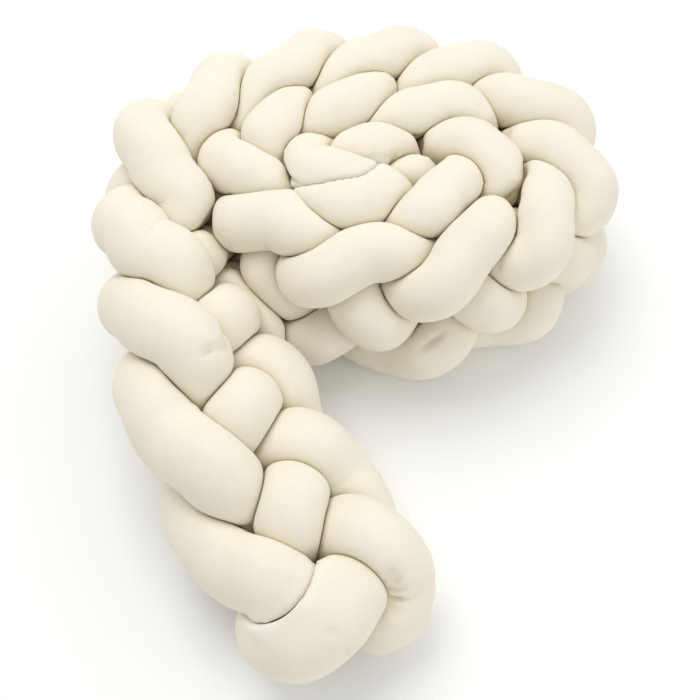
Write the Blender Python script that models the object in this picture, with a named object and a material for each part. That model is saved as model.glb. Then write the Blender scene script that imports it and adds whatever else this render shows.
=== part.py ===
"""Braided crib bumper: one long flat braid of four stuffed cloth tubes.

The braid lies as it was put down. Its near end is flat on the floor. Going back from there it
rolls over onto its edge and coils twice, and its other end is tucked inside the coil.
Metres, +Z up, floor at z = 0, origin on the floor under the middle of the whole braid.

Places along the braid are counted in lobes: one lobe is the length from one bulge of an edge
to the next, and each tube comes round to the same place again every STRANDS lobes.
"""

from collections import namedtuple
import math

import bpy
import numpy as np

# The stuffed tubes, in metres
STRANDS = 4
CAP_LENGTH = 0.040
TUBE_GAP = 0.0005
BEND_SHARE = 0.85
PRESS_SHARPNESS = 11
TUBE_COLOUR = (0.87, 0.83, 0.72, 1.0)
TUBE_ROUGHNESS = 0.9

# The braid: how far a tube swings from its middle, across it and through it, and the shares of
# one, three and five waves for each swing that take it over one tube and under the next
HALF_SPREAD = 0.073
CROSSING_LIFT = 0.035
CROSSING_WAVES = ((1, 0.207), (3, 0.832), (5, -0.375))
LOWER_EDGE_SQUASH = 1.01
# How much the floor flattens the lowest tubes, and how near it their cloth still settles onto it
FLOOR_PRESS = 0.004
FLOOR_SETTLE = 0.005

# The mesh
RING_SIDES = 12
RING_STEP = 0.027
CAP_ANGLES = (28, 55, 80)
MARK_STEP = 0.125
FINE_STEPS = 2600
HEADING_BLEND = 25
REACH = 0.102
OWN_REACH = 0.130
DRAW_IN_PASSES = 20
DRAW_IN_ENOUGH = 0.00005
TRIANGLE_STEPS = 4
CLOSEST = 0.038
SPREAD_PASSES = 40
SPREAD_SHARE = 0.08
SMALLEST_REACH = 0.004

# The course of the braid, from its inner end out: where its middle is over the floor, how far it
# is rolled over from lying flat (0) to standing on edge (90), the radius of its tubes, which the
# coil packs tighter, and its skew: how far its right side is ahead of its middle, for each metre.
Station = namedtuple("Station", "lobe x y roll radius skew")
COURSE = (
    Station(-1.2, 0.099, 0.162, 84, 0.034, 0.00),
    Station(0.0, -0.035, 0.169, 93, 0.034, 0.00),
    Station(1.0, -0.042, 0.114, 103, 0.034, 0.00),
    Station(2.0, 0.056, 0.095, 106, 0.034, 0.00),
    Station(3.0, 0.140, 0.144, 101, 0.034, 0.00),
    Station(4.0, 0.114, 0.226, 100, 0.034, 0.00),
    Station(5.0, 0.021, 0.256, 103, 0.034, 0.00),
    Station(6.0, -0.072, 0.242, 104, 0.034, 0.00),
    Station(7.0, -0.138, 0.182, 99, 0.034, 0.00),
    Station(8.0, -0.114, 0.113, 99, 0.034, 0.00),
    Station(9.0, -0.040, 0.048, 102, 0.034, 0.00),
    Station(10.0, 0.076, 0.038, 100, 0.034, 0.00),
    Station(11.0, 0.176, 0.081, 97, 0.034, 0.00),
    Station(12.0, 0.226, 0.142, 94, 0.034, 0.00),
    Station(13.0, 0.213, 0.218, 93, 0.034, 0.00),
    Station(14.0, 0.142, 0.282, 94, 0.034, 0.00),
    Station(15.0, 0.056, 0.307, 99, 0.034, 0.00),
    Station(16.0, -0.046, 0.307, 104, 0.034, 0.00),
    Station(17.0, -0.149, 0.270, 104, 0.035, 0.10),
    Station(18.0, -0.221, 0.205, 98, 0.037, 0.12),
    Station(19.0, -0.219, 0.108, 83, 0.038, 0.08),
    Station(20.0, -0.186, 0.031, 44, 0.040, 0.16),
    Station(21.0, -0.160, -0.069, 42, 0.041, 0.24),
    Station(22.0, -0.115, -0.173, 20, 0.041, 0.16),
    Station(23.0, -0.041, -0.271, 4, 0.041, 0.08),
    Station(24.6, -0.017, -0.445, 0, 0.041, -0.05),
)

# How far each tube follows the braid, and where its two ends are then tucked in: how far along,
# across (right of the braid's middle) and above its middle.
Run = namedtuple("Run", "strand first last")
RUNS = (
    Run(0, -1.0, 22.85),
    Run(1, -0.8, 22.95),
    Run(2, -0.8, 23.1),
    Run(3, -1.2, 22.95),
)
Tuck = namedtuple("Tuck", "strand end lobe across lift")
TUCKS = (
    Tuck(1, "near", 23.34, 0.013, 0.031),
    Tuck(1, "near", 23.55, -0.012, 0.029),
    Tuck(1, "near", 23.66, -0.051, 0.011),
    Tuck(1, "near", 23.41, -0.076, -0.015),
    Tuck(1, "near", 22.93, -0.065, -0.044),
    Tuck(2, "near", 23.28, 0.068, 0.000),
    Tuck(2, "near", 23.41, 0.058, -0.014),
    Tuck(2, "near", 23.47, 0.038, -0.027),
    Tuck(2, "near", 23.45, 0.015, -0.033),
    Tuck(3, "near", 23.18, -0.034, 0.006),
    Tuck(3, "near", 23.25, -0.016, -0.027),
)


def clear_scene():
    """Remove whatever the scene holds."""
    for scene_object in list(bpy.data.objects):
        bpy.data.objects.remove(scene_object, do_unlink=True)


def smooth(places, values, at):
    """Read a smooth curve through values given at places."""
    places = np.asarray(places, float)
    values = np.asarray(values, float)
    spans = np.diff(places)
    shape = (-1,) + (1,) * (values.ndim - 1)
    rises = np.diff(values, axis=0) / spans.reshape(shape)
    slopes = np.empty_like(values)
    slopes[0] = rises[0]
    slopes[-1] = rises[-1]
    before = spans[:-1].reshape(shape)
    after = spans[1:].reshape(shape)
    slopes[1:-1] = (rises[:-1] * after + rises[1:] * before) / (before + after)
    left = np.clip(np.searchsorted(places, at, side="right") - 1, 0, len(places) - 2)
    span = spans[left].reshape(shape)
    t = ((at - places[left]) / spans[left]).reshape(shape)
    start = (2 * t**3 - 3 * t**2 + 1) * values[left] + (t**3 - 2 * t**2 + t) * span * slopes[left]
    finish = (3 * t**2 - 2 * t**3) * values[left + 1] + (t**3 - t**2) * span * slopes[left + 1]
    return start + finish


def along(points):
    """Distance along a line of points, from its start to each of them."""
    steps = np.linalg.norm(np.diff(points, axis=0), axis=1)
    return np.concatenate(([0.0], np.cumsum(steps)))


def course_column(name, lobes):
    """One column of the COURSE table, read at any places along the braid."""
    places = [station.lobe for station in COURSE]
    values = [getattr(station, name) for station in COURSE]
    return smooth(places, values, np.asarray(lobes, float))


def floor_track():
    """The line over the floor that the braid's middle follows, finely stepped, and its heading."""
    lobes = np.linspace(COURSE[0].lobe, COURSE[-1].lobe, FINE_STEPS)
    points = np.stack([course_column("x", lobes), course_column("y", lobes)], axis=1)
    ahead = np.gradient(points, axis=0)
    heading = np.pad(np.unwrap(np.arctan2(ahead[:, 1], ahead[:, 0])), HEADING_BLEND, mode="edge")
    share = 1 / (2 * HEADING_BLEND + 1)
    return lobes, points, np.convolve(heading, np.full(2 * HEADING_BLEND + 1, share), "valid")


def heading_frame(track, lobes):
    """The way ahead along the floor at each place, and the way to the left of it."""
    heading = np.interp(lobes, track[0], track[2])
    nothing = np.zeros_like(heading)
    ahead = np.stack([np.cos(heading), np.sin(heading), nothing], axis=1)
    return ahead, np.stack([np.sin(heading), -np.cos(heading), nothing], axis=1)


def braid_frame(track, lobes):
    """The braid's middle at each place, the way to its left edge and the way out of its top."""
    track_lobes, track_points, _ = track
    flat_left = heading_frame(track, lobes)[1]
    roll = np.radians(course_column("roll", lobes))
    up = np.array([0.0, 0.0, 1.0])
    lean = np.cos(roll)[:, None]
    rise = np.sin(roll)[:, None]
    left = lean * flat_left + rise * up
    top = lean * up - rise * flat_left
    on_edge = HALF_SPREAD * LOWER_EDGE_SQUASH * np.abs(rise[:, 0])
    lying_flat = CROSSING_LIFT * np.abs(lean[:, 0])
    height = on_edge + lying_flat + course_column("radius", lobes) - FLOOR_PRESS
    x = np.interp(lobes, track_lobes, track_points[:, 0])
    y = np.interp(lobes, track_lobes, track_points[:, 1])
    return np.stack([x, y, height], axis=1), left, top


def in_braid(track, lobes, across, lift):
    """Points given along, across and above the braid, in the world."""
    lobes = np.asarray(lobes, float)
    middle, left, top = braid_frame(track, lobes)
    roll = np.radians(np.clip(course_column("roll", lobes), 0, 90))
    squash = np.where(across > 0, 1 - (1 - LOWER_EDGE_SQUASH) * np.sin(roll) ** 2, 1)
    return middle - left * (across * squash)[:, None] + top * lift[:, None]


def plait(track, strand, lobes):
    """A tube's centre-line in the braid: across and back once in every STRANDS lobes.

    It goes over the tube it meets, then under the next, which lifts it and drops it three
    times on each way across.
    """
    swing = 1.25 * math.pi + (lobes - strand) * 2 * math.pi / STRANDS
    wave = sum(share * np.sin(count * swing) for count, share in CROSSING_WAVES)
    across = HALF_SPREAD * np.cos(swing)
    skewed = course_column("skew", lobes) * across
    ahead = heading_frame(track, lobes)[0]
    return in_braid(track, lobes, across, -CROSSING_LIFT * wave) + ahead * skewed[:, None]


def tube_marks(track, run):
    """Marks along a tube's centre-line, tucked ends included, each with the lobe that it is at."""
    regular = np.arange(run.first, run.last + MARK_STEP / 2, MARK_STEP)
    pieces = [np.column_stack((plait(track, run.strand, regular), regular))]
    for end in ("inner", "near"):
        rows = [tuck[2:] for tuck in TUCKS if tuck[:2] == (run.strand, end)]
        if rows:
            lobes, across, lift = np.array(rows).T
            tucked = np.column_stack((in_braid(track, lobes, across, lift), lobes))
            pieces.insert(0 if end == "inner" else len(pieces), tucked)
    return np.concatenate(pieces)


def neighbour_mean(values):
    """Each row averaged with the rows beside it."""
    padded = np.concatenate((values[:1], values, values[-1:]))
    return (padded[:-2] + 2 * padded[1:-1] + padded[2:]) / 4


def spread(tubes):
    """Move the marks of all tubes until no two centre-lines are nearer than cloth can be pressed."""
    ends = np.cumsum([0] + [len(marks) for marks in tubes])
    owner = np.repeat(np.arange(len(tubes)), np.diff(ends))
    distance = np.concatenate([along(marks[:, :3]) for marks in tubes])
    every = np.concatenate(tubes)
    next_door = np.abs(distance[:, None] - distance[None]) < OWN_REACH
    skip = next_door & (owner[:, None] == owner[None])
    for _ in range(SPREAD_PASSES):
        away = every[:, None, :3] - every[None, :, :3]
        apart = np.linalg.norm(away, axis=2) + 1e-9
        push = np.where(skip, 0.0, np.clip(CLOSEST - apart, 0, None) / apart)
        shift = SPREAD_SHARE * (away * push[:, :, None]).sum(axis=1)
        for start, end in zip(ends, ends[1:]):
            every[start:end, :3] += neighbour_mean(neighbour_mean(shift[start:end]))
    return [every[start:end] for start, end in zip(ends, ends[1:])]


def centre_line(marks):
    """A smooth line through a tube's marks: close points, and the lobe that each is at."""
    distance = along(marks[:, :3])
    close = smooth(distance, marks, np.linspace(0, distance[-1], FINE_STEPS))
    return close[:, :3], close[:, 3]


def ring_places(length):
    """Distances along a tube of its rings, closer together where its ends round off."""
    cap = [CAP_LENGTH * (1 - math.cos(math.radians(angle))) for angle in CAP_ANGLES]
    count = round((length - 2 * CAP_LENGTH) / RING_STEP)
    middle = np.linspace(CAP_LENGTH, length - CAP_LENGTH, count + 1)
    return np.concatenate((cap, middle, length - np.array(cap[::-1])))


def ring_spokes(line, rings):
    """Unit spokes round each ring, carried along the tube without twisting."""
    ahead = np.gradient(line, axis=0)
    ahead /= np.linalg.norm(ahead, axis=1, keepdims=True)
    side = np.cross(ahead[0], (0.0, 0.0, 1.0))
    sides = np.empty_like(line)
    for place, way in enumerate(ahead):
        side = side - way * np.dot(side, way)
        side /= np.linalg.norm(side)
        sides[place] = side
    over = np.cross(ahead, sides)[rings]
    turn = np.linspace(0, 2 * math.pi, RING_SIDES, endpoint=False)
    return (np.cos(turn)[None, :, None] * sides[rings][:, None]
            + np.sin(turn)[None, :, None] * over[:, None])


def bend(line, rings, smoothing=0.02):
    """How sharply the tube bends at each ring, as a vector towards the inside of the bend."""
    distance = along(line)
    before = np.clip(distance[rings] - smoothing, 0, None)
    after = np.clip(distance[rings] + smoothing, None, distance[-1])
    ends = [np.stack([np.interp(place, distance, line[:, axis]) for axis in range(3)], axis=1)
            for place in (before, distance[rings], after)]
    ways = [ends[1] - ends[0], ends[2] - ends[1]]
    lengths = [np.linalg.norm(way, axis=1, keepdims=True) + 1e-9 for way in ways]
    return 2 * (ways[1] / lengths[1] - ways[0] / lengths[0]) / (lengths[0] + lengths[1])


class Surroundings:
    """What is near one ring: the tube's own centre-line, and the others that press on it."""

    def __init__(self, centre, place, strand, lines, distances):
        own_distance = distances[strand]
        own, others = [], []
        for other, line in enumerate(lines):
            near = np.linalg.norm(line - centre, axis=1) < REACH
            if other == strand:
                far = np.abs(own_distance - own_distance[place]) > OWN_REACH
                own.append(line[near & ~far])
                near &= far
            others.append(line[near])
        self.centre = centre
        self.own = np.concatenate(own)
        self.others = np.concatenate(others)

    def room(self, spokes):
        """How far each spoke reaches before another centre-line is as near as this one."""
        if not len(self.others):
            return np.full(len(spokes), np.inf)
        away = self.others - self.centre
        towards = spokes @ away.T + TUBE_GAP
        apart = np.sum(away**2, axis=1) - TUBE_GAP**2
        room = np.where(towards > 1e-6, apart / (2 * np.maximum(towards, 1e-6)), np.inf)
        return room.min(axis=1)

    def trespass(self, points):
        """How far each point is past the halfway surface between this tube and the others."""
        if not len(self.others):
            return np.zeros(len(points))
        to_own = np.linalg.norm(points[:, None] - self.own[None], axis=2).min(axis=1)
        to_others = np.linalg.norm(points[:, None] - self.others[None], axis=2).min(axis=1)
        return np.clip((to_own + TUBE_GAP - to_others) / 2, 0, None)


def triangles_between(ring):
    """Corners (ring, side) of the triangles between a ring and the next."""
    corners = []
    for side in range(RING_SIDES):
        beside = (side + 1) % RING_SIDES
        corners.append(((ring, side), (ring, beside), (ring + 1, beside)))
        corners.append(((ring, side), (ring + 1, beside), (ring + 1, side)))
    return corners


def draw_in(reach, centres, spokes, surroundings):
    """Shorten spokes until the flat triangles between them keep to their tube's own side."""
    steps = range(TRIANGLE_STEPS + 1)
    shares = [(a, b, TRIANGLE_STEPS - a - b) for a in steps for b in steps[:TRIANGLE_STEPS + 1 - a]]
    shares = np.array([share for share in shares if max(share) < TRIANGLE_STEPS]) / TRIANGLE_STEPS
    for _ in range(DRAW_IN_PASSES):
        shells = centres[:, None] + spokes * reach[:, :, None]
        pull = np.zeros_like(reach)
        for ring in range(len(reach) - 1):
            corners = triangles_between(ring)
            samples = [shares @ np.array([shells[corner] for corner in triangle])
                       for triangle in corners]
            depth = surroundings[ring].trespass(np.concatenate(samples))
            depth = depth.reshape(len(corners), -1).max(axis=1)
            for triangle, deep in zip(corners, depth):
                for corner in triangle:
                    pull[corner] = max(pull[corner], deep)
        if pull.max() < DRAW_IN_ENOUGH:
            break
        reach = np.maximum(reach - pull, SMALLEST_REACH)
    return reach


def tube_rings(strand, lines, lobes):
    """Points of one tube's rings, pressed flat by its neighbours, its own bends and the floor."""
    line = lines[strand]
    distances = [along(other) for other in lines]
    distance = distances[strand]
    rings = np.searchsorted(distance, ring_places(distance[-1])).clip(0, len(line) - 1)
    centres = line[rings]
    spokes = ring_spokes(line, rings)
    surroundings = [Surroundings(line[place], place, strand, lines, distances) for place in rings]
    room = np.array([near.room(spokes[ring]) for ring, near in enumerate(surroundings)])
    inward = np.einsum("rsa,ra->rs", spokes, bend(line, rings))
    own = np.where(inward > 1e-6, BEND_SHARE / np.maximum(inward, 1e-6), np.inf)
    tight = np.minimum(room, own)
    from_end = np.minimum(distance[rings], distance[-1] - distance[rings])
    inside = np.clip((CAP_LENGTH - from_end) / CAP_LENGTH, 0, 1)
    radius = course_column("radius", lobes[strand][rings])
    plump = (radius * np.sqrt(1 - inside**2))[:, None]
    pressed = (plump**-PRESS_SHARPNESS + tight**-PRESS_SHARPNESS) ** (-1 / PRESS_SHARPNESS)
    down = -spokes[:, :, 2]
    floor = centres[:, None, 2] / np.maximum(down, 1e-3)
    settles = (down > 1e-3) & ((floor - pressed) * down < FLOOR_SETTLE)
    settled = np.where(settles, floor, pressed)
    reach = draw_in(np.minimum(settled, tight), centres, spokes, surroundings)
    shells = centres[:, None] + spokes * reach[:, :, None]
    shells[reach == floor, 2] = 0.0
    return shells, line[0], line[-1]


def tube_material(name):
    """Matt cream cloth."""
    material = bpy.data.materials.new(name)
    material.use_nodes = True
    shader = material.node_tree.nodes["Principled BSDF"]
    shader.inputs["Base Color"].default_value = TUBE_COLOUR
    shader.inputs["Roughness"].default_value = TUBE_ROUGHNESS
    shader.inputs["Metallic"].default_value = 0.0
    return material


def tube_object(name, shells, start, finish):
    """One closed tube: its rings joined by triangles and its ends by fans."""
    count, sides = shells.shape[:2]
    corners = [tuple(point) for shell in shells for point in shell]
    corners += [tuple(start), tuple(finish)]
    faces = []
    for ring in range(count - 1):
        for triangle in triangles_between(ring):
            faces.append([at_ring * sides + side for at_ring, side in triangle])
    last = (count - 1) * sides
    for side in range(sides):
        beside = (side + 1) % sides
        faces.append((count * sides, beside, side))
        faces.append((count * sides + 1, last + side, last + beside))
    mesh = bpy.data.meshes.new(name)
    mesh.from_pydata(corners, [], faces)
    mesh.materials.append(tube_material(name))
    mesh.shade_smooth()
    tube = bpy.data.objects.new(name, mesh)
    bpy.context.collection.objects.link(tube)
    return tube


def build_bumper():
    """All four tubes, moved so that the origin is under the middle of the whole braid."""
    track = floor_track()
    marks = spread([tube_marks(track, run) for run in RUNS])
    lines, lobes = zip(*(centre_line(tube) for tube in marks))
    tubes = [tube_rings(run.strand, lines, lobes) for run in RUNS]
    every = np.concatenate([shells.reshape(-1, 3) for shells, _, _ in tubes])
    middle = (every.min(axis=0) + every.max(axis=0)) / 2
    shift = np.array([middle[0], middle[1], 0.0])
    for run, (shells, start, finish) in zip(RUNS, tubes):
        tube_object(f"strand_{run.strand + 1}", shells - shift, start - shift, finish - shift)


clear_scene()
build_bumper()
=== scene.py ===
"""Looks of the braided crib bumper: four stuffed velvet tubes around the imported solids.

The braid lies as it was put down. Its near end is flat on the floor. Going back from there it
rolls over onto its edge and coils twice, and its other end is tucked inside the coil. Places
along it are counted in lobes, as in the part: one lobe is the length from one bulge of an edge
to the next, and each tube comes round to the same place again every four lobes.
"""

import logging
import math
from dataclasses import dataclass
from enum import Enum
from typing import NamedTuple

import bpy
import numpy as np
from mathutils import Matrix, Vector


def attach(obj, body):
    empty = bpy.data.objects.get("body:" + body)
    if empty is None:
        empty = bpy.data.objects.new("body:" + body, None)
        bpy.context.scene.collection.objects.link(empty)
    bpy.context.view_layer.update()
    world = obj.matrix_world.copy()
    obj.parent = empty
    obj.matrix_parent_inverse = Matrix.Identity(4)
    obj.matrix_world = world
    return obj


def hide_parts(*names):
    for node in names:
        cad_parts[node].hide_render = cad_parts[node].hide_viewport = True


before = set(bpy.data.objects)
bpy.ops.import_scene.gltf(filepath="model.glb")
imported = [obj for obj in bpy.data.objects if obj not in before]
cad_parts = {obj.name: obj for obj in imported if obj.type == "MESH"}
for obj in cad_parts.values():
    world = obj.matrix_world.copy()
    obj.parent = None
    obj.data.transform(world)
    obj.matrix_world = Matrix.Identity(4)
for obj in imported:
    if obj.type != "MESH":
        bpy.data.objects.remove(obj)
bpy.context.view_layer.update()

LOG = logging.getLogger("crib_bumper")
STRANDS = 4
LINE_STEPS = 1300
# Keeps a division by a length safe
TINY = 1e-9
# A wave texture of scale 1 has a rib every tenth of pi
RIB_TURNS = math.pi / 10


class TubeEnd(Enum):
    """The two ends of a tube."""

    INNER = "inner"
    NEAR = "near"


class Station(NamedTuple):
    """The braid at one place: its middle, its roll, its tubes' radius and its sides' skew."""

    lobe: float
    x: float
    y: float
    roll: float
    radius: float
    skew: float


class Run(NamedTuple):
    """How far one tube follows the braid, in lobes."""

    strand: int
    first: float
    last: float


class Tuck(NamedTuple):
    """A place that a tube's end is tucked to: along, across and above the braid's middle."""

    strand: int
    end: TubeEnd
    lobe: float
    across: float
    lift: float


class Dent(NamedTuple):
    """A short crease in the cloth of some tubes: its two ends in the world, its depth and width.

    A depth below zero is a swelling, which fills a seam between two tubes.
    """

    strands: tuple[int, ...]
    start: tuple[float, float, float]
    end: tuple[float, float, float]
    depth: float
    width: float


# Metres on the floor, the roll in degrees and the skew as a share of the place across
COURSE: tuple[Station, ...] = (
    Station(-1.2, 0.099, 0.162, 84, 0.034, 0.00),
    Station(0.0, -0.035, 0.169, 93, 0.034, 0.00),
    Station(1.0, -0.042, 0.114, 103, 0.034, 0.00),
    Station(2.0, 0.056, 0.095, 106, 0.034, 0.00),
    Station(3.0, 0.140, 0.144, 101, 0.034, 0.00),
    Station(4.0, 0.114, 0.226, 100, 0.034, 0.00),
    Station(5.0, 0.021, 0.256, 103, 0.034, 0.00),
    Station(6.0, -0.072, 0.242, 104, 0.034, 0.00),
    Station(7.0, -0.138, 0.182, 99, 0.034, 0.00),
    Station(8.0, -0.114, 0.113, 99, 0.034, 0.00),
    Station(9.0, -0.040, 0.048, 102, 0.034, 0.00),
    Station(10.0, 0.076, 0.038, 100, 0.034, 0.00),
    Station(11.0, 0.176, 0.081, 97, 0.034, 0.00),
    Station(12.0, 0.226, 0.142, 94, 0.034, 0.00),
    Station(13.0, 0.213, 0.218, 93, 0.034, 0.00),
    Station(14.0, 0.142, 0.282, 94, 0.034, 0.00),
    Station(15.0, 0.056, 0.307, 99, 0.034, 0.00),
    Station(16.0, -0.046, 0.307, 104, 0.034, 0.00),
    Station(17.0, -0.149, 0.270, 104, 0.035, 0.10),
    Station(18.0, -0.221, 0.205, 98, 0.037, 0.12),
    Station(19.0, -0.219, 0.108, 83, 0.038, 0.08),
    Station(20.0, -0.186, 0.031, 44, 0.040, 0.16),
    Station(21.0, -0.160, -0.069, 42, 0.041, 0.24),
    Station(22.0, -0.115, -0.173, 20, 0.041, 0.16),
    Station(23.0, -0.041, -0.271, 4, 0.041, 0.08),
    Station(24.6, -0.017, -0.445, 0, 0.041, -0.05),
)

RUNS: tuple[Run, ...] = (
    Run(0, -0.55, 22.85),
    Run(1, -0.8, 22.95),
    Run(2, -0.8, 23.1),
    Run(3, -0.35, 22.95),
)

TUCKS: tuple[Tuck, ...] = (
    Tuck(0, TubeEnd.INNER, -0.97, 0.017, -0.019),
    Tuck(0, TubeEnd.INNER, -0.92, -0.017, -0.013),
    Tuck(0, TubeEnd.INNER, -0.81, -0.051, -0.009),
    Tuck(3, TubeEnd.INNER, -1.19, -0.052, 0.011),
    Tuck(3, TubeEnd.INNER, -1.05, -0.057, 0.015),
    Tuck(3, TubeEnd.INNER, -0.87, -0.055, 0.019),
    Tuck(3, TubeEnd.INNER, -0.67, -0.042, 0.014),
    Tuck(1, TubeEnd.NEAR, 23.34, 0.013, 0.031),
    Tuck(1, TubeEnd.NEAR, 23.54, -0.009, 0.029),
    Tuck(1, TubeEnd.NEAR, 23.66, -0.041, 0.011),
    Tuck(1, TubeEnd.NEAR, 23.43, -0.063, -0.014),
    Tuck(1, TubeEnd.NEAR, 23.03, -0.054, -0.040),
    Tuck(2, TubeEnd.NEAR, 23.28, 0.068, 0.000),
    Tuck(2, TubeEnd.NEAR, 23.41, 0.058, -0.014),
    Tuck(2, TubeEnd.NEAR, 23.47, 0.038, -0.027),
    Tuck(2, TubeEnd.NEAR, 23.45, 0.015, -0.033),
    Tuck(3, TubeEnd.NEAR, 23.18, -0.034, 0.006),
    Tuck(3, TubeEnd.NEAR, 23.25, -0.016, -0.027),
)

DENTS: tuple[Dent, ...] = (
    # The seam between the end loop and the tube beside it is pressed almost closed
    Dent((3,), (-0.045, -0.290, 0.118), (-0.062, -0.318, 0.118), -0.008, 0.018),
    Dent((1,), (-0.045, -0.290, 0.118), (-0.062, -0.318, 0.118), -0.014, 0.018),
    Dent((3,), (-0.062, -0.318, 0.118), (-0.095, -0.331, 0.110), -0.006, 0.018),
    Dent((1,), (-0.062, -0.318, 0.118), (-0.095, -0.331, 0.110), -0.016, 0.018),
    Dent((3,), (-0.095, -0.331, 0.110), (-0.128, -0.314, 0.085), -0.002, 0.014),
    Dent((1,), (-0.095, -0.331, 0.110), (-0.128, -0.314, 0.085), -0.006, 0.014),
    # So is the one at the coil's middle
    Dent((1, 2), (-0.064, 0.119, 0.190), (-0.022, 0.124, 0.195), -0.012, 0.018),
    Dent((1, 2), (-0.022, 0.124, 0.195), (0.016, 0.141, 0.190), -0.012, 0.018),
    # Gathers inside the end loop
    Dent((2,), (0.022, -0.291, 0.131), (0.038, -0.288, 0.132), 0.0065, 0.0034),
    Dent((2,), (0.025, -0.297, 0.121), (0.041, -0.295, 0.124), 0.0065, 0.0034),
    Dent((2,), (0.027, -0.302, 0.110), (0.042, -0.302, 0.113), 0.0070, 0.0034),
    Dent((2,), (0.028, -0.307, 0.099), (0.041, -0.310, 0.102), 0.0070, 0.0034),
    Dent((2,), (0.027, -0.314, 0.096), (0.039, -0.320, 0.095), 0.0065, 0.0034),
    # Tucks on the end loop
    Dent((1,), (-0.030, -0.349, 0.138), (-0.006, -0.360, 0.099), 0.0050, 0.0035),
    Dent((1,), (-0.014, -0.362, 0.118), (-0.008, -0.362, 0.102), 0.0060, 0.0050),
    # Small holes where several tubes meet
    Dent((0, 1, 3), (-0.045, -0.278, 0.126), (-0.045, -0.271, 0.113), 0.0070, 0.0100),
    Dent((2, 3), (-0.114, -0.243, 0.123), (-0.114, -0.236, 0.111), 0.0040, 0.0080),
    Dent((0, 1, 2), (0.159, 0.202, 0.191), (0.159, 0.208, 0.179), 0.0110, 0.0120),
    Dent((0, 3), (0.172, 0.113, 0.188), (0.172, 0.120, 0.176), 0.0110, 0.0120),
    Dent((0,), (0.178, 0.144, 0.193), (0.178, 0.151, 0.181), 0.0080, 0.0100),
    Dent((0, 1), (0.064, 0.194, 0.182), (0.064, 0.200, 0.169), 0.0080, 0.0090),
    Dent((0, 1), (-0.084, 0.132, 0.193), (-0.084, 0.139, 0.181), 0.0080, 0.0100),
    Dent((1, 3), (-0.169, 0.094, 0.170), (-0.169, 0.100, 0.158), 0.0080, 0.0120),
    Dent((0, 1, 3), (-0.142, 0.068, 0.136), (-0.142, 0.075, 0.124), 0.0080, 0.0120),
    Dent((2, 3), (-0.194, 0.194, 0.195), (-0.194, 0.201, 0.183), 0.0050, 0.0100),
    # Folds at the coil's middle
    Dent((0,), (0.020, 0.140, 0.211), (0.030, 0.160, 0.200), 0.0060, 0.0035),
    Dent((0,), (0.034, 0.162, 0.187), (0.040, 0.167, 0.199), 0.0060, 0.0035),
    Dent((0,), (0.011, 0.143, 0.212), (0.016, 0.158, 0.204), 0.0055, 0.0035),
    Dent((1,), (-0.080, 0.138, 0.196), (-0.062, 0.111, 0.212), 0.0070, 0.0036),
    # Folds where the braid rolls over, and at the coil's outside
    Dent((1,), (-0.146, -0.036, 0.173), (-0.141, -0.053, 0.186), 0.0080, 0.0038),
    Dent((1,), (-0.140, -0.055, 0.184), (-0.136, -0.060, 0.176), 0.0080, 0.0038),
    Dent((1,), (-0.159, -0.083, 0.202), (-0.138, -0.066, 0.185), 0.0080, 0.0038),
    Dent((0,), (0.068, -0.022, 0.089), (0.090, -0.009, 0.101), 0.0080, 0.0038),
    Dent((3,), (0.212, 0.049, 0.099), (0.222, 0.053, 0.107), 0.0060, 0.0036),
    Dent((0,), (0.134, 0.023, 0.186), (0.150, 0.039, 0.165), 0.0070, 0.0036),
    Dent((1,), (-0.270, 0.041, 0.189), (-0.261, 0.032, 0.162), 0.0050, 0.0040),
)


def linear_colour(srgb_hex: str) -> tuple[float, float, float, float]:
    """Turn an sRGB hex colour to linear.

    Args:
        srgb_hex: six hex digits after a hash sign.

    Returns:
        Linear red, green, blue and an alpha of one.
    """
    parts = [int(srgb_hex[start:start + 2], 16) / 255 for start in (1, 3, 5)]
    red, green, blue = (
        part / 12.92 if part <= 0.04045 else ((part + 0.055) / 1.055) ** 2.4 for part in parts
    )
    return red, green, blue, 1.0


def add_node(
    tree: bpy.types.NodeTree,
    kind: str,
    settings: dict[str, object] | None = None,
    inputs: dict[int | str, object] | None = None,
) -> bpy.types.Node:
    """Add one node, set it and feed its inputs.

    Args:
        tree: the node tree that it goes into.
        kind: the node's type.
        settings: its properties by name.
        inputs: values, or the output sockets of other nodes, by input name or number.

    Returns:
        The new node.
    """
    node = tree.nodes.new(kind)
    for name, value in (settings or {}).items():
        setattr(node, name, value)
    for name, value in (inputs or {}).items():
        if isinstance(value, bpy.types.NodeSocket):
            tree.links.new(value, node.inputs[name])
        else:
            node.inputs[name].default_value = value
    return node


def smooth(places: np.ndarray, values: np.ndarray, at: np.ndarray) -> np.ndarray:
    """Read a smooth curve through values given at places.

    Args:
        places: rising positions.
        values: a number or a row of numbers for each place.
        at: the positions to read.

    Returns:
        The value or row at each position.
    """
    spans = np.diff(places)
    shape = (-1,) + (1,) * (values.ndim - 1)
    rises = np.diff(values, axis=0) / spans.reshape(shape)
    slopes = np.empty_like(values)
    slopes[0] = rises[0]
    slopes[-1] = rises[-1]
    before = spans[:-1].reshape(shape)
    after = spans[1:].reshape(shape)
    slopes[1:-1] = (rises[:-1] * after + rises[1:] * before) / (before + after)
    left = np.clip(np.searchsorted(places, at, side="right") - 1, 0, len(places) - 2)
    span = spans[left].reshape(shape)
    t = ((at - places[left]) / spans[left]).reshape(shape)
    start = (2 * t**3 - 3 * t**2 + 1) * values[left] + (t**3 - 2 * t**2 + t) * span * slopes[left]
    finish = (3 * t**2 - 2 * t**3) * values[left + 1] + (t**3 - t**2) * span * slopes[left + 1]
    return start + finish


def along(points: np.ndarray) -> np.ndarray:
    """Distance along a line of points, from its start to each of them."""
    steps = np.linalg.norm(np.diff(points, axis=0), axis=1)
    return np.concatenate(([0.0], np.cumsum(steps)))


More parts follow.
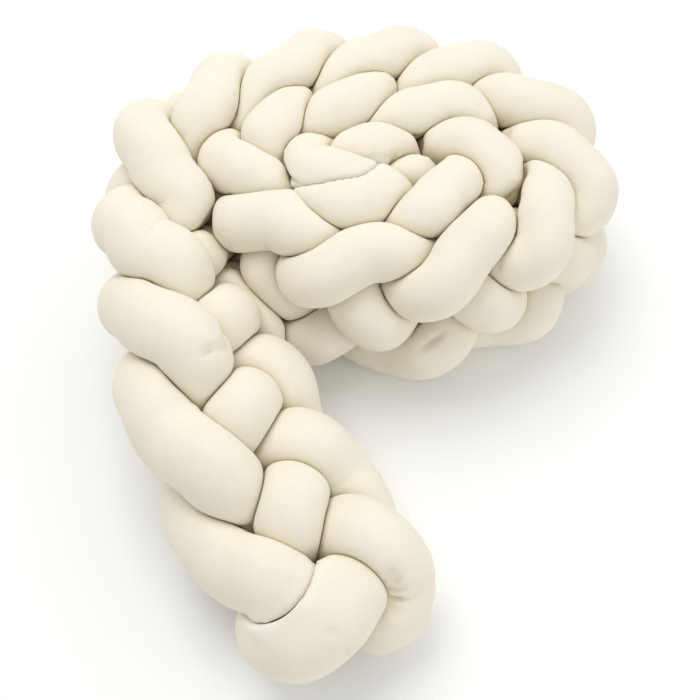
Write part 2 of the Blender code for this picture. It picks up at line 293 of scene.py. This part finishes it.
def neighbour_mean(values: np.ndarray) -> np.ndarray:
    """Each row averaged with the rows beside it."""
    padded = np.concatenate((values[:1], values, values[-1:]))
    return (padded[:-2] + 2 * padded[1:-1] + padded[2:]) / 4


@dataclass(frozen=True)
class Braid:
    """The plait itself: where each tube's centre-line goes.

    The sizes are the part's own, in metres.
    """

    half_spread: float = 0.073
    crossing_lift: float = 0.035
    crossing_waves: tuple[tuple[int, float], ...] = ((1, 0.207), (3, 0.832), (5, -0.375))
    swing_start: float = 1.25 * math.pi
    lower_edge_squash: float = 1.01
    floor_press: float = 0.004
    centre: tuple[float, float] = (0.0, -0.0002)
    mark_step: float = 0.125
    track_steps: int = 2600
    heading_blend: int = 25
    closest: float = 0.038
    next_door: float = 0.130
    spread_passes: int = 40
    spread_share: float = 0.08

    def column(self, name: str, lobes: np.ndarray) -> np.ndarray:
        """Read one column of the COURSE table.

        Args:
            name: the column.
            lobes: the places to read, anywhere along the braid.

        Returns:
            The column's value at each place.
        """
        places = np.array([station.lobe for station in COURSE], float)
        values = np.array([getattr(station, name) for station in COURSE], float)
        return smooth(places, values, np.asarray(lobes, float))

    def floor_track(self) -> tuple[np.ndarray, np.ndarray, np.ndarray]:
        """Work out the line over the floor that the braid's middle follows.

        Returns:
            The lobe, the point and the heading at each step of the line.
        """
        lobes = np.linspace(COURSE[0].lobe, COURSE[-1].lobe, self.track_steps)
        points = np.stack([self.column("x", lobes), self.column("y", lobes)], axis=1)
        ahead = np.gradient(points, axis=0)
        heading = np.unwrap(np.arctan2(ahead[:, 1], ahead[:, 0]))
        heading = np.pad(heading, self.heading_blend, mode="edge")
        window = 2 * self.heading_blend + 1
        heading = np.convolve(heading, np.full(window, 1 / window), "valid")
        return lobes, points - np.array(self.centre), heading

    def headings(self, lobes: np.ndarray) -> tuple[np.ndarray, np.ndarray]:
        """Find which way the braid goes over the floor.

        Args:
            lobes: the places to read.

        Returns:
            The way ahead at each place, and the level way that its left edge lies.
        """
        track_lobes, _, track_heading = self.floor_track()
        heading = np.interp(lobes, track_lobes, track_heading)
        nothing = np.zeros_like(heading)
        ahead = np.stack([np.cos(heading), np.sin(heading), nothing], axis=1)
        return ahead, np.stack([np.sin(heading), -np.cos(heading), nothing], axis=1)

    def frames(self, lobes: np.ndarray) -> tuple[np.ndarray, np.ndarray, np.ndarray]:
        """Find how the braid lies.

        Args:
            lobes: the places to read.

        Returns:
            Its middle at each place, the way to its left edge and the way out of its top.
        """
        track_lobes, track_points, _ = self.floor_track()
        flat_left = self.headings(lobes)[1]
        roll = np.radians(self.column("roll", lobes))
        up = np.array([0.0, 0.0, 1.0])
        lean = np.cos(roll)[:, None]
        rise = np.sin(roll)[:, None]
        on_edge = self.half_spread * self.lower_edge_squash * np.abs(rise[:, 0])
        lying_flat = self.crossing_lift * np.abs(lean[:, 0])
        height = on_edge + lying_flat + self.column("radius", lobes) - self.floor_press
        x = np.interp(lobes, track_lobes, track_points[:, 0])
        y = np.interp(lobes, track_lobes, track_points[:, 1])
        left = lean * flat_left + rise * up
        return np.stack([x, y, height], axis=1), left, lean * up - rise * flat_left

    def place(self, lobes: np.ndarray, across: np.ndarray, lift: np.ndarray) -> np.ndarray:
        """Turn places in the braid to points in the world.

        Args:
            lobes: how far along the braid each place is.
            across: how far it is from the middle, towards the right edge.
            lift: how far it is out of the top.

        Returns:
            The points.
        """
        middle, left, top = self.frames(lobes)
        roll = np.radians(np.clip(self.column("roll", lobes), 0, 90))
        squash = np.where(across > 0, 1 - (1 - self.lower_edge_squash) * np.sin(roll) ** 2, 1)
        return middle - left * (across * squash)[:, None] + top * lift[:, None]

    def plaited(self, strand: int, lobes: np.ndarray) -> np.ndarray:
        """Follow a tube across and back every four lobes, over one tube and under the next.

        Args:
            strand: the tube.
            lobes: the places to read.

        Returns:
            The points of its centre-line.
        """
        swing = self.swing_start + (lobes - strand) * 2 * math.pi / STRANDS
        wave = sum(share * np.sin(count * swing) for count, share in self.crossing_waves)
        across = self.half_spread * np.cos(swing)
        ahead = self.headings(lobes)[0] * (self.column("skew", lobes) * across)[:, None]
        return self.place(lobes, across, -self.crossing_lift * wave) + ahead

    def marks(self, run: Run) -> np.ndarray:
        """Mark one tube's centre-line, its tucked ends included.

        Args:
            run: the tube, and how far it follows the braid.

        Returns:
            A row for each mark: its point and its lobe.
        """
        regular = np.arange(run.first, run.last + self.mark_step / 2, self.mark_step)
        pieces = [np.column_stack((self.plaited(run.strand, regular), regular))]
        for end in TubeEnd:
            rows = [tuck[2:] for tuck in TUCKS if tuck[:2] == (run.strand, end)]
            if rows:
                lobes, across, lift = np.array(rows).T
                tucked = np.column_stack((self.place(lobes, across, lift), lobes))
                pieces.insert(0 if end is TubeEnd.INNER else len(pieces), tucked)
        return np.concatenate(pieces)

    def spread(self, tubes: list[np.ndarray]) -> list[np.ndarray]:
        """Move the marks apart where centre-lines are nearer than cloth can be pressed.

        Args:
            tubes: the marks of each tube.

        Returns:
            The same rows, moved.
        """
        ends = np.cumsum([0] + [len(marks) for marks in tubes])
        owner = np.repeat(np.arange(len(tubes)), np.diff(ends))
        distance = np.concatenate([along(marks[:, :3]) for marks in tubes])
        every = np.concatenate(tubes)
        close = np.abs(distance[:, None] - distance[None]) < self.next_door
        skip = close & (owner[:, None] == owner[None])
        for _ in range(self.spread_passes):
            away = every[:, None, :3] - every[None, :, :3]
            apart = np.linalg.norm(away, axis=2) + TINY
            push = np.where(skip, 0.0, np.clip(self.closest - apart, 0, None) / apart)
            shift = self.spread_share * (away * push[:, :, None]).sum(axis=1)
            for start, end in zip(ends, ends[1:]):
                every[start:end, :3] += neighbour_mean(neighbour_mean(shift[start:end]))
        return [every[start:end] for start, end in zip(ends, ends[1:])]

    def centre_lines(self, steps: int) -> tuple[list[np.ndarray], list[np.ndarray]]:
        """All four centre-lines.

        Args:
            steps: how many points each line gets.

        Returns:
            The lines' points, and the lobe that each point is at.
        """
        lines, lobes = [], []
        for marks in self.spread([self.marks(run) for run in RUNS]):
            distance = along(marks[:, :3])
            close = smooth(distance, marks, np.linspace(0, distance[-1], steps))
            lines.append(close[:, :3])
            lobes.append(close[:, 3])
        return lines, lobes


@dataclass(frozen=True)
class Velvet:
    """Cream crush-resistant polyester velvet, woven with a short cut pile.

    The pile scatters light, so the cloth is matt with a pale bloom where it turns away, and it
    looks warmer and deeper in the creases, where light passes from cloth to cloth. That warmer,
    darker crease colour is painted shade, mixed into the cloth's colour.
    """

    name: str = "cream_cut_pile_velvet"
    face: str = "#F3EEE1"
    # Painted shade: the warmer, darker colour mixed in where the tube is pressed into a crease
    crease_shade: str = "#DFCD9E"
    bloom: str = "#FFFDF6"
    roughness: float = 0.88
    sheen: float = 0.15
    sheen_roughness: float = 0.45
    # Pile tufts are 0.4 mm apart. They are drawn at 1.6 mm, so that the render shows them.
    tuft_mm: float = 1.6
    tuft_range: tuple[float, float] = (0.25, 0.75)
    tuft_shade: tuple[float, float] = (0.975, 1.02)
    # Brushed patches, where the pile leans another way
    patch_mm: float = 45.0
    patch_range: tuple[float, float] = (0.3, 0.7)
    patch_shade: tuple[float, float] = (0.972, 1.02)
    # The weave's ribs run round the tube. They are 0.8 mm apart, drawn at 4.7 mm, and they wander.
    rib_mm: float = 4.7374
    rib_wander: float = 1.5
    rib_share: float = 0.25
    # How far the tufts and ribs stand out in the bump, and how strongly they show
    pile_height: float = 0.0006
    pile_strength: float = 0.35

    def material(self) -> bpy.types.Material:
        """Build the cloth's material.

        Returns:
            The material, which reads the "crease" numbers for its painted crease shade and the
            "cloth" UV map of a mesh.
        """
        material = bpy.data.materials.new(self.name)
        material.use_nodes = True
        tree = material.node_tree
        shader = tree.nodes["Principled BSDF"]
        shader.inputs["Roughness"].default_value = self.roughness
        shader.inputs["Sheen Weight"].default_value = self.sheen
        shader.inputs["Sheen Roughness"].default_value = self.sheen_roughness
        shader.inputs["Sheen Tint"].default_value = linear_colour(self.bloom)
        place = add_node(tree, "ShaderNodeTexCoord").outputs["Object"]
        cloth = add_node(tree, "ShaderNodeUVMap", {"uv_map": "cloth"}).outputs["UV"]
        crease_shade = add_node(tree, "ShaderNodeAttribute", {"attribute_name": "crease_shade"}).outputs["Fac"]
        patches = add_node(
            tree, "ShaderNodeTexNoise", {},
            {"Vector": place, "Scale": 1000 / self.patch_mm, "Detail": 3.0, "Roughness": 0.6},
        ).outputs["Fac"]
        tufts = add_node(
            tree, "ShaderNodeTexNoise", {},
            {"Vector": place, "Scale": 1000 / self.tuft_mm, "Detail": 2.0, "Roughness": 0.7},
        ).outputs["Fac"]
        ribs = add_node(
            tree, "ShaderNodeTexWave", {"wave_type": "BANDS", "bands_direction": "Y"},
            {"Vector": cloth, "Scale": RIB_TURNS * 1000 / self.rib_mm,
             "Distortion": self.rib_wander, "Detail": 1.0, "Detail Scale": 3.0},
        ).outputs["Fac"]
        # Painted shade: the face colour goes towards the crease colour as far as the tube is
        # pressed
        shaded_face = add_node(
            tree, "ShaderNodeMix", {"data_type": "RGBA"},
            {0: crease_shade, 6: linear_colour(self.face), 7: linear_colour(self.crease_shade)},
        ).outputs[2]
        shades = []
        for pattern, (low, high), (dark, light) in (
            (patches, self.patch_range, self.patch_shade),
            (tufts, self.tuft_range, self.tuft_shade),
        ):
            shades.append(add_node(
                tree, "ShaderNodeMapRange", {},
                {"Value": pattern, "From Min": low, "From Max": high,
                 "To Min": dark, "To Max": light},
            ).outputs["Result"])
        both = add_node(
            tree, "ShaderNodeMath", {"operation": "MULTIPLY"}, dict(enumerate(shades))
        )
        colour = add_node(
            tree, "ShaderNodeVectorMath", {"operation": "SCALE"},
            {0: shaded_face, "Scale": both.outputs[0]},
        ).outputs["Vector"]
        tree.links.new(colour, shader.inputs["Base Color"])
        ribbed = add_node(
            tree, "ShaderNodeMath", {"operation": "MULTIPLY_ADD"},
            {0: ribs, 1: self.rib_share, 2: tufts},
        ).outputs[0]
        bump = add_node(
            tree, "ShaderNodeBump", {},
            {"Height": ribbed, "Strength": self.pile_strength, "Distance": self.pile_height},
        ).outputs["Normal"]
        tree.links.new(bump, shader.inputs["Normal"])
        return material


@dataclass(frozen=True)
class ClothRelief:
    """The low relief of a stuffed cloth skin, laid on by geometry nodes.

    Filling pushes it out in soft lumps, and it gathers in fine folds inside the tube's bends.
    """

    lump_height: float = 0.0030
    lump_size: float = 0.055
    gather_depth: float = 0.0024
    gather_spacing: float = 0.013
    # The gathers wander by a ripple, whose size is this share of their spacing
    ripple_share: float = 0.45
    ripple_wander: float = 1.6
    ripple_shift: float = 5.0
    fold_sharpness: float = 1.7
    fold_weight: float = -2.0
    seed: int = 7
    seed_stride: float = 1.37

    def tree(self) -> bpy.types.NodeTree:
        """Build the node tree, with its sizes as named inputs.

        Returns:
            The tree, which reads the "along", "free" and "gather" numbers of a mesh.
        """
        tree = bpy.data.node_groups.new("cloth_relief", "GeometryNodeTree")
        sockets = (
            ("Tube", "NodeSocketGeometry"), ("Lump Height", "NodeSocketFloat"),
            ("Lump Size", "NodeSocketFloat"), ("Gather Depth", "NodeSocketFloat"),
            ("Gather Spacing", "NodeSocketFloat"), ("Seed", "NodeSocketInt"),
            ("Cloth", "NodeSocketMaterial"),
        )
        for name, kind in sockets:
            tree.interface.new_socket(name, in_out="INPUT", socket_type=kind)
        tree.interface.new_socket("Tube", in_out="OUTPUT", socket_type="NodeSocketGeometry")
        given = add_node(tree, "NodeGroupInput").outputs

        def number(operation: str, *values: object) -> bpy.types.NodeSocket:
            """The result of one sum on numbers or sockets."""
            settings = {"operation": operation}
            return add_node(tree, "ShaderNodeMath", settings, dict(enumerate(values))).outputs[0]

        def named(name: str) -> bpy.types.NodeSocket:
            """One of the numbers that the tube's points carry."""
            return add_node(tree, "GeometryNodeInputNamedAttribute", {}, {"Name": name}).outputs[0]

        spot = add_node(tree, "GeometryNodeInputPosition").outputs[0]
        seed = number("MULTIPLY", given["Seed"], self.seed_stride)
        lumps = add_node(
            tree, "ShaderNodeTexNoise", {"noise_dimensions": "4D"},
            {"Vector": spot, "W": seed, "Scale": number("DIVIDE", 1.0, given["Lump Size"]),
             "Detail": 1.5, "Roughness": 0.45},
        ).outputs[0]
        ripple = add_node(
            tree, "ShaderNodeTexNoise", {"noise_dimensions": "4D"},
            {"Vector": spot, "W": number("ADD", seed, self.ripple_shift),
             "Scale": number("DIVIDE", self.ripple_share, given["Gather Spacing"]), "Detail": 1.0},
        ).outputs[0]
        swell = number("MULTIPLY", number("SUBTRACT", lumps, 0.5), given["Lump Height"])
        swell = number("MULTIPLY", swell, named("free"))
        turns = number("DIVIDE", named("along"), given["Gather Spacing"])
        turns = number("MULTIPLY_ADD", ripple, self.ripple_wander, turns)
        phase = number("MULTIPLY", turns, math.pi)
        valley = number("SUBTRACT", 1.0, number("ABSOLUTE", number("SINE", phase)))
        fold = number("MULTIPLY", number("POWER", valley, self.fold_sharpness), named("gather"))
        fold = number("MULTIPLY", number("MULTIPLY", fold, ripple), given["Gather Depth"])
        height = number("MULTIPLY_ADD", fold, self.fold_weight, swell)
        normal = add_node(tree, "GeometryNodeInputNormal").outputs[0]
        offset = add_node(
            tree, "ShaderNodeVectorMath", {"operation": "SCALE"}, {0: normal, "Scale": height}
        ).outputs[0]
        moved = add_node(
            tree, "GeometryNodeSetPosition", {}, {"Geometry": given["Tube"], "Offset": offset}
        ).outputs[0]
        real = add_node(tree, "GeometryNodeRealizeInstances", {}, {"Geometry": moved}).outputs[0]
        dressed = add_node(
            tree, "GeometryNodeSetMaterial", {}, {"Geometry": real, "Material": given["Cloth"]}
        ).outputs[0]
        add_node(tree, "NodeGroupOutput", {}, {0: dressed})
        return tree

    def lay_on(
        self, tube: bpy.types.Object, tree: bpy.types.NodeTree, cloth: bpy.types.Material,
        seed: int,
    ) -> None:
        """Turn a tube's mesh into the same mesh with its relief and its cloth.

        Args:
            tube: the tube's object.
            tree: what tree() built.
            cloth: the cloth's material.
            seed: this tube's own number for its lumps and folds.
        """
        modifier = tube.modifiers.new("cloth_relief", "NODES")
        modifier.node_group = tree
        sizes = {
            "Lump Height": self.lump_height, "Lump Size": self.lump_size,
            "Gather Depth": self.gather_depth, "Gather Spacing": self.gather_spacing,
            "Seed": self.seed + seed, "Cloth": cloth,
        }
        for socket in tree.interface.items_tree:
            if socket.in_out == "INPUT" and socket.name in sizes:
                modifier[socket.identifier] = sizes[socket.name]
        seen = tube.evaluated_get(bpy.context.evaluated_depsgraph_get())
        finished = bpy.data.meshes.new_from_object(seen)
        tube.modifiers.remove(modifier)
        plain = tube.data
        tube.data = finished
        bpy.data.meshes.remove(plain)


@dataclass
class StuffedTube:
    """One stuffed velvet tube, pressed flat by its neighbours, its own bends and the floor.

    It is built as rings of spokes along its centre-line. Lengths are in metres.
    """

    strand: int
    lines: list[np.ndarray]
    lobes: list[np.ndarray]
    braid: Braid
    gap: float = 0.0006
    press_sharpness: float = 16.0
    bend_share: float = 0.92
    bend_reach: float = 0.026
    least_bend: float = 4.0
    floor_settle: float = 0.004
    floor_fade: float = 0.01
    cap_length: float = 0.040
    cap_rings: int = 10
    cap_turn: tuple[float, float] = (14.0, 84.0)
    look_ahead: float = 0.002
    ring_step: float = 0.0031
    sides: int = 76
    reach: float = 0.102
    own_reach: float = 0.190
    far: float = 1.0
    least_towards: float = 1e-6
    least_down: float = 1e-3
    room_passes: int = 1
    smoothing_passes: int = 4
    bend_passes: int = 24
    dent_taper: float = 0.15
    free_gain: float = 3.0
    gather_start: float = 0.75
    gather_span: float = 0.5
    # The painted crease shade starts where a spoke is shorter than this share of the plump radius
    crease_shade_start: float = 1.15

    def __post_init__(self) -> None:
        """Name the tube and place its rings."""
        self.name = f"velvet_tube_{self.strand + 1}"
        self.line = self.lines[self.strand]
        self.distance = along(self.line)
        length = self.distance[-1]
        turn = np.radians(np.linspace(*self.cap_turn, self.cap_rings))
        cap = self.cap_length * (1 - np.cos(turn))
        count = round((length - 2 * self.cap_length) / self.ring_step)
        middle = np.linspace(self.cap_length, length - self.cap_length, count + 1)
        self.places = np.concatenate((cap, middle, length - cap[::-1]))
        self.centres = self.at(self.places)
        self.spokes = self.ring_spokes()

    def at(self, places: np.ndarray) -> np.ndarray:
        """Points of the centre-line at distances along it."""
        return np.stack(
            [np.interp(places, self.distance, self.line[:, axis]) for axis in range(3)], axis=1
        )

    def ring_spokes(self) -> np.ndarray:
        """Carry a ring of spokes along the tube without twisting it.

        Returns:
            The unit spokes round each ring.
        """
        ahead = self.at(self.places + self.look_ahead) - self.at(self.places - self.look_ahead)
        ahead /= np.linalg.norm(ahead, axis=1, keepdims=True)
        side = np.cross(ahead[0], (0.0, 0.0, 1.0))
        sides = np.empty_like(ahead)
        for place, way in enumerate(ahead):
            side = side - way * np.dot(side, way)
            side /= np.linalg.norm(side)
            sides[place] = side
        over = np.cross(ahead, sides)
        turn = np.linspace(0, 2 * math.pi, self.sides, endpoint=False)
        return (np.cos(turn)[None, :, None] * sides[:, None]
                + np.sin(turn)[None, :, None] * over[:, None])

    def bend(self) -> np.ndarray:
        """Measure how sharply the tube bends.

        Returns:
            One over the bend's radius at each ring, as a vector towards the inside.
        """
        before = self.at(np.clip(self.places - self.bend_reach, 0, None))
        after = self.at(np.clip(self.places + self.bend_reach, None, self.distance[-1]))
        ways = [self.centres - before, after - self.centres]
        lengths = [np.linalg.norm(way, axis=1, keepdims=True) + TINY for way in ways]
        return 2 * (ways[1] / lengths[1] - ways[0] / lengths[0]) / (lengths[0] + lengths[1])

    def room(self) -> np.ndarray:
        """Measure how far each spoke reaches before another centre-line is as near as this one.

        Returns:
            The lengths, less the gap between two tubes.
        """
        room = np.full(self.spokes.shape[:2], self.far)
        for ring, centre in enumerate(self.centres):
            others = []
            for other, line in enumerate(self.lines):
                near = np.linalg.norm(line - centre, axis=1) < self.reach
                if other == self.strand:
                    near &= np.abs(self.distance - self.places[ring]) > self.own_reach
                others.append(line[near])
            away = np.concatenate(others) - centre
            if not len(away):
                continue
            towards = self.spokes[ring] @ away.T + self.gap
            apart = np.sum(away**2, axis=1) - self.gap**2
            faces = towards > self.least_towards
            free = apart / (2 * np.maximum(towards, self.least_towards))
            room[ring] = np.where(faces, free, self.far).min(axis=1)
        return room

    def soften(self, reach: np.ndarray, passes: int) -> np.ndarray:
        """Even out spoke lengths along the tube and round it.

        Args:
            reach: the length of each spoke.
            passes: how many times each is averaged with those beside it.

        Returns:
            The evened lengths.
        """
        for _ in range(passes):
            reach = neighbour_mean(reach)
            reach = (np.roll(reach, 1, axis=1) + 2 * reach + np.roll(reach, -1, axis=1)) / 4
        return reach

    def dented(self, reach: np.ndarray) -> np.ndarray:
        """Press the short creases into the cloth, and swell it where its seams are closed.

        Args:
            reach: the length of each spoke.

        Returns:
            The lengths, less near each crease and more near each closed seam.
        """
        shells = self.centres[:, None] + self.spokes * reach[:, :, None]
        for dent in DENTS:
            if self.strand not in dent.strands:
                continue
            start = np.array(dent.start)
            way = np.array(dent.end) - start
            share = np.clip((shells - start) @ way / (way @ way), 0, 1)
            off = np.linalg.norm(shells - start - share[..., None] * way, axis=2)
            taper = math.pi * (share * (1 - 2 * self.dent_taper) + self.dent_taper)
            fade = np.sin(taper) if dent.depth > 0 else 1.0
            reach = reach - dent.depth * np.exp(-((off / dent.width) ** 2)) * fade
        return reach

    def mesh(self) -> bpy.types.Mesh:
        """Press the tube to shape and skin it.

        Returns:
            Its closed mesh, with what its relief and cloth need at each point.
        """
        room = self.soften(self.room(), self.room_passes)
        inward = np.einsum("rsa,ra->rs", self.spokes, self.bend())
        own = self.bend_share / np.maximum(inward, self.least_bend)
        own = self.soften(own, self.bend_passes)
        tight = np.minimum(room, own)
        from_end = np.minimum(self.places, self.distance[-1] - self.places)
        inside = np.clip((self.cap_length - from_end) / self.cap_length, 0, 1)
        lobe = np.interp(self.places, self.distance, self.lobes[self.strand])
        radius = self.braid.column("radius", lobe)[:, None]
        plump = radius * np.sqrt(1 - inside**2)[:, None]
        power = self.press_sharpness
        pressed = (plump**-power + tight**-power) ** (-1 / power)
        down = -self.spokes[:, :, 2]
        floor = self.centres[:, None, 2] / np.maximum(down, self.least_down)
        settles = (down > self.least_down) & ((floor - pressed) * down < self.floor_settle)
        pressed = np.where(settles, floor, pressed)
        reach = np.minimum(self.soften(pressed, self.smoothing_passes), room)
        reach = np.minimum(self.dented(reach), room)
        shells = self.centres[:, None] + self.spokes * reach[:, :, None]
        free = np.clip(self.free_gain * reach / plump - (self.free_gain - 1), 0, 1)
        free = free * np.clip(shells[:, :, 2] / self.floor_fade, 0, 1)
        gather = np.clip((inward * radius - self.gather_start) / self.gather_span, 0, 1)
        # The painted crease shade: how far each spoke is pressed in from the plump radius
        crease_shade = np.clip(self.crease_shade_start - reach / plump, 0, 1)
        points = shells.reshape(-1, 3)
        points[:, 2] = np.maximum(points[:, 2], 0.0)
        columns = {
            "along": np.repeat(self.places, self.sides), "free": free.ravel(),
            "gather": (gather * free).ravel(), "crease_shade": crease_shade.ravel(),
        }
        return self.skin(points, columns)

    def skin(self, points: np.ndarray, columns: dict[str, np.ndarray]) -> bpy.types.Mesh:
        """Join the rings into a closed skin.

        Args:
            points: the rings' points, ring after ring.
            columns: a number for each point, by name.

        Returns:
            The mesh, with the numbers as attributes and a UV map in metres.
        """
        rings = len(self.places)
        ring, side = (part.ravel() for part in np.mgrid[0:rings - 1, 0:self.sides])
        beside = (side + 1) % self.sides
        quads = np.stack([
            ring * self.sides + side, ring * self.sides + beside,
            (ring + 1) * self.sides + beside, (ring + 1) * self.sides + side,
        ], axis=1)
        # The two ends are closed by fans of triangles round the ends of the centre-line
        poles = len(points)
        last = (rings - 1) * self.sides
        turn = range(self.sides)
        fans = [(poles, (here + 1) % self.sides, here) for here in turn]
        fans += [(poles + 1, last + here, last + (here + 1) % self.sides) for here in turn]
        every = np.concatenate((points, self.line[[0, -1]]))
        mesh = bpy.data.meshes.new(self.name)
        mesh.from_pydata(every.tolist(), [], quads.tolist() + fans)
        for name, values in columns.items():
            layer = mesh.attributes.new(name, "FLOAT", "POINT")
            layer.data.foreach_set("value", np.append(values, [0.0, 0.0]).astype(np.float32))
        girth = 2 * math.pi * self.cap_length / self.sides
        across = np.stack([side, side + 1, side + 1, side], axis=1) * girth
        length = np.stack([self.places[ring + step] for step in (0, 0, 1, 1)], axis=1)
        uv = np.stack([across.ravel(), length.ravel()], axis=1)
        fan_corners = 3 * len(fans)
        uv = np.concatenate((uv, np.zeros((fan_corners, 2))))
        layer = mesh.uv_layers.new(name="cloth")
        layer.data.foreach_set("uv", uv.astype(np.float32).ravel())
        mesh.shade_smooth()
        return mesh

    def build(self) -> bpy.types.Object:
        """Put the tube in the scene.

        Returns:
            The tube's object, at the origin.
        """
        tube = bpy.data.objects.new(self.name, self.mesh())
        bpy.context.scene.collection.objects.link(tube)
        return tube


class Softbox(NamedTuple):
    """A square lamp: its name, where it hangs, the length of its side and its power in watts."""

    name: str
    spot: tuple[float, float, float]
    size: float
    power: float


@dataclass(frozen=True)
class Studio:
    """The plain pale floor, the soft lights and the camera."""

    eye: tuple[float, float, float] = (-0.0114, -0.6329, 1.2855)
    elevation: float = 62.42
    focal_px: float = 1202.0
    frame_px: int = 700
    middle_px: float = 338.7
    sensor_mm: float = 36.0
    floor_colour: str = "#FCFCFB"
    floor_roughness: float = 0.95
    floor_size: float = 12.0
    floor_drop: float = 0.0004
    room_colour: str = "#FFFFFF"
    room_light: float = 0.60
    lit_height: float = 0.05
    softboxes: tuple[Softbox, ...] = (
        Softbox("key_softbox", (-0.8, 1.2, 3.0), 2.2, 50.0),
        Softbox("fill_softbox", (1.9, -1.4, 1.3), 2.0, 13.0),
        Softbox("back_softbox", (0.9, 2.2, 2.2), 2.0, 10.0),
    )

    def camera(self) -> None:
        """Place the camera at the photograph's angle."""
        camera = bpy.data.cameras.new("camera")
        camera.sensor_width = self.sensor_mm
        camera.lens = self.sensor_mm * self.focal_px / self.frame_px
        camera.shift_y = (self.middle_px - self.frame_px / 2) / self.frame_px
        holder = bpy.data.objects.new("camera", camera)
        holder.location = self.eye
        holder.rotation_euler = (math.radians(90 - self.elevation), 0.0, 0.0)
        bpy.context.scene.collection.objects.link(holder)
        bpy.context.scene.camera = holder

    def floor(self) -> None:
        """Lay the pale floor."""
        half = self.floor_size / 2
        corners = [(-half, -half, 0.0), (half, -half, 0.0), (half, half, 0.0), (-half, half, 0.0)]
        mesh = bpy.data.meshes.new("pale_floor")
        mesh.from_pydata(corners, [], [(0, 1, 2, 3)])
        material = bpy.data.materials.new("matt_white_backdrop_paper")
        material.use_nodes = True
        shader = material.node_tree.nodes["Principled BSDF"]
        shader.inputs["Base Color"].default_value = linear_colour(self.floor_colour)
        shader.inputs["Roughness"].default_value = self.floor_roughness
        mesh.materials.append(material)
        floor = bpy.data.objects.new("pale_floor", mesh)
        floor.location.z = -self.floor_drop
        bpy.context.scene.collection.objects.link(floor)

    def light(self, softbox: Softbox) -> None:
        """Hang one softbox so that it faces the braid.

        Args:
            softbox: the lamp.
        """
        lamp = bpy.data.lights.new(softbox.name, "AREA")
        lamp.shape = "SQUARE"
        lamp.size = softbox.size
        lamp.energy = softbox.power
        holder = bpy.data.objects.new(softbox.name, lamp)
        holder.location = softbox.spot
        aim = Vector((0.0, 0.0, self.lit_height)) - Vector(softbox.spot)
        holder.rotation_euler = aim.to_track_quat("-Z", "Y").to_euler()
        bpy.context.scene.collection.objects.link(holder)

    def lights(self) -> None:
        """Light it softly from the upper left, with a weak fill and a pale room."""
        for softbox in self.softboxes:
            self.light(softbox)
        world = bpy.data.worlds.new("pale_room")
        world.use_nodes = True
        background = world.node_tree.nodes["Background"]
        background.inputs["Color"].default_value = linear_colour(self.room_colour)
        background.inputs["Strength"].default_value = self.room_light
        bpy.context.scene.world = world
        bpy.context.scene.view_settings.view_transform = "Standard"


def main() -> None:
    """Build the studio and the four tubes, and report each piece."""
    studio = Studio()
    studio.camera()
    studio.lights()
    studio.floor()
    braid = Braid()
    lines, lobes = braid.centre_lines(LINE_STEPS)
    cloth = Velvet().material()
    relief = ClothRelief()
    tree = relief.tree()
    for run in RUNS:
        tube = StuffedTube(run.strand, lines, lobes, braid).build()
        relief.lay_on(tube, tree, cloth, run.strand)
        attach(tube, "root")
        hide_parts(f"strand_{run.strand + 1}")
        LOG.info("%s: %d points", tube.name, len(tube.data.vertices))


if __name__ == "__main__":
    main()
